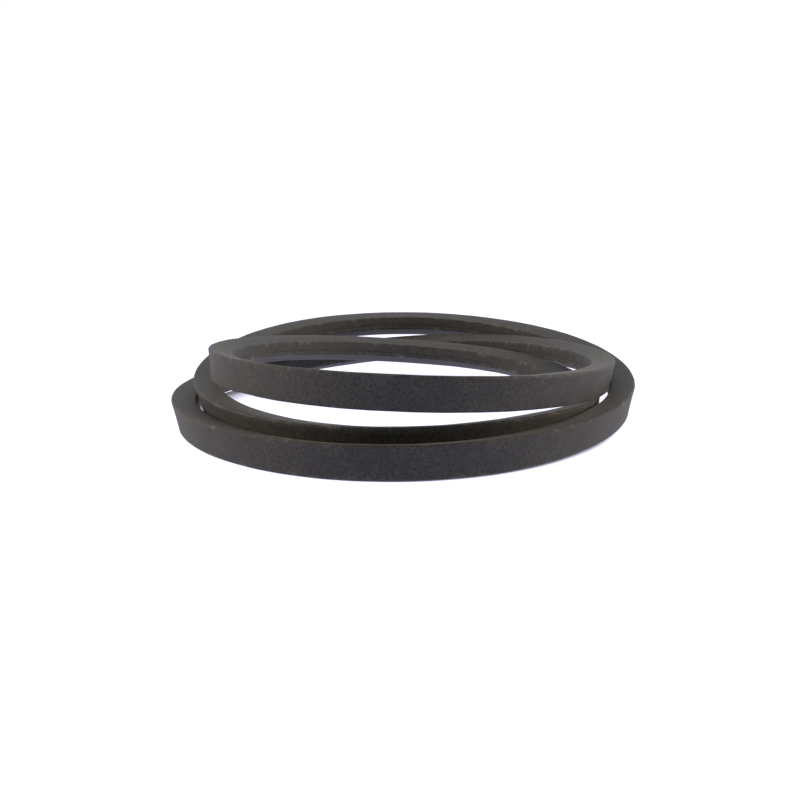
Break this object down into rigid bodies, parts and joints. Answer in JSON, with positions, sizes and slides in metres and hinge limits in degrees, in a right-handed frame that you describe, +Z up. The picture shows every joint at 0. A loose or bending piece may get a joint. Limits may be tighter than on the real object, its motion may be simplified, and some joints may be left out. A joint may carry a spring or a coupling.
{
  "type": "v belt",
  "caption": "Endless wrapped V-belt coiled for storage: flat back, sloping flanks and a matte black rubberised fabric jacket over a rubber core with wound tension cords.",
  "frame": {"origin": "under the middle of the coil's box in plan, on the surface that the coil lies on", "axes": "+Z up from that surface, through the middle of the coil; -Y the side where the raised top loop stands in front of the others; +X to the right when looking along +Y"},
  "size_m": [0.1876, 0.1878, 0.0342],
  "materials": {
    "outer_jacket": "matte black rubberised fabric with a fine diagonal weave, greyer where it is rubbed",
    "inner_jacket": "dark brown-black rubberised fabric ply",
    "tension_rubber": "smooth black rubber",
    "adhesion_rubber": "smooth dark brown-black rubber",
    "tension_cord": "treated polyester cord, dull cream",
    "compression_rubber": "dull black fibre-filled rubber"
  },
  "bodies": {
    "root": {"outer_jacket": "outer_jacket", "inner_jacket": "inner_jacket", "tension_rubber": "tension_rubber", "upper_adhesion_rubber": "adhesion_rubber", "s_twist_cord": "tension_cord", "z_twist_cord": "tension_cord", "lower_adhesion_rubber": "adhesion_rubber", "compression_rubber": "compression_rubber"}
  },
  "joints": []
}
